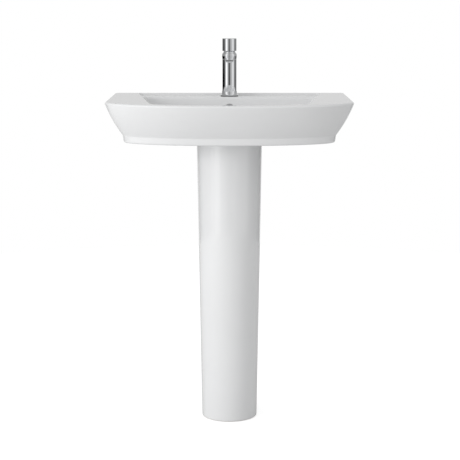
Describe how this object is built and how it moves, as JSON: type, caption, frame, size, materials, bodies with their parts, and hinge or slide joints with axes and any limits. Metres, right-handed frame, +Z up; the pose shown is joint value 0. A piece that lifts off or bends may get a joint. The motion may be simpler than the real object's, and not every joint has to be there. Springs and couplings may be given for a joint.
{
  "type": "pedestal sink",
  "caption": "Ceramic washbasin with a bowed front and a sunk tap ledge on a tapering pedestal, with a slim cylindrical mixer tap, click waste and bottle trap.",
  "frame": {"origin": "centre of the footprint box on the floor, midway between the wall plane and the front of the bow", "axes": "+Z up, +X to the user's right, -Y towards the user, +Y towards the wall; the wall plane is y = 0.240"},
  "size_m": [0.65, 0.48, 1.027],
  "materials": {
    "ceramic": "glazed vitreous china, white gloss",
    "chrome": "polished chrome plate on brass",
    "brass": "machined brass",
    "copper": "drawn copper tube",
    "steel": "zinc-plated and stainless steel",
    "rubber": "black rubber",
    "white_plastic": "moulded white polypropylene",
    "grey_plastic": "moulded grey nylon"
  },
  "bodies": {
    "sink": {"basin": "ceramic", "pedestal": "ceramic", "overflow_ring": "chrome", "tap_base_flange": "chrome", "tap_body": "chrome", "tap_spout": "chrome", "cartridge_dome": "chrome", "waste_flange": "chrome", "cartridge_nut": "brass", "tap_fixing_nut": "brass", "stop_valve_hot": "brass", "stop_valve_cold": "brass", "tail_nut_hot": "brass", "tail_nut_cold": "brass", "inlet_nut_hot": "brass", "inlet_nut_cold": "brass", "waste_nut": "brass", "tail_hot": "copper", "tail_cold": "copper", "wall_bolt_left": "steel", "wall_bolt_right": "steel", "wall_bolt_nut_left": "steel", "wall_bolt_nut_right": "steel", "floor_screw_left": "steel", "floor_screw_right": "steel", "tap_fixing_stud": "steel", "tap_horseshoe_plate": "steel", "bedding_seal": "rubber", "tap_base_seal": "rubber", "tap_horseshoe_seal": "rubber", "waste_flange_washer": "rubber", "waste_seal": "rubber", "trap_inlet_washer": "rubber", "trap_outlet_washer": "rubber", "trap_cup_seal": "rubber", "floor_screw_washer_left": "white_plastic", "floor_screw_washer_right": "white_plastic", "cartridge_housing": "white_plastic", "waste_guide": "white_plastic", "trap_body": "white_plastic", "trap_cup": "white_plastic", "trap_inlet_nut": "white_plastic", "trap_outlet_nut": "white_plastic", "waste_pipe": "white_plastic", "wall_bolt_washer_left": "grey_plastic", "wall_bolt_washer_right": "grey_plastic", "spout_outlet": "grey_plastic"},
    "mixing_rotor": {"cartridge_rotor": "grey_plastic"},
    "handle": {"tap_handle": "chrome", "handle_screw": "steel", "cartridge_stem": "steel", "cartridge_pin": "steel"},
    "plug": {"waste_plug": "chrome", "waste_plug_seal": "rubber", "waste_plug_stem": "brass"},
    "hot_spindle": {"stop_valve_spindle_hot": "brass"},
    "cold_spindle": {"stop_valve_spindle_cold": "brass"}
  },
  "joints": [
    {"name": "handle_swivel", "type": "hinge", "parent": "sink", "child": "mixing_rotor", "pos_m": [0, 0.183, 0.9827], "axis": [0, 0, 1], "range_deg": [-45, 45]},
    {"name": "handle_tilt", "type": "hinge", "parent": "mixing_rotor", "child": "handle", "pos_m": [0, 0.183, 0.9827], "axis": [-1, 0, 0], "range_deg": [0, 14]},
    {"name": "plug_press", "type": "slide", "parent": "sink", "child": "plug", "axis": [0, 0, -1], "range_m": [0, 0.009]},
    {"name": "hot_valve_turn", "type": "hinge", "parent": "sink", "child": "hot_spindle", "pos_m": [-0.044, 0.082, 0.5], "axis": [0, 1, 0], "range_deg": [0, 90]},
    {"name": "cold_valve_turn", "type": "hinge", "parent": "sink", "child": "cold_spindle", "pos_m": [0.044, 0.082, 0.5], "axis": [0, 1, 0], "range_deg": [0, 90]}
  ]
}
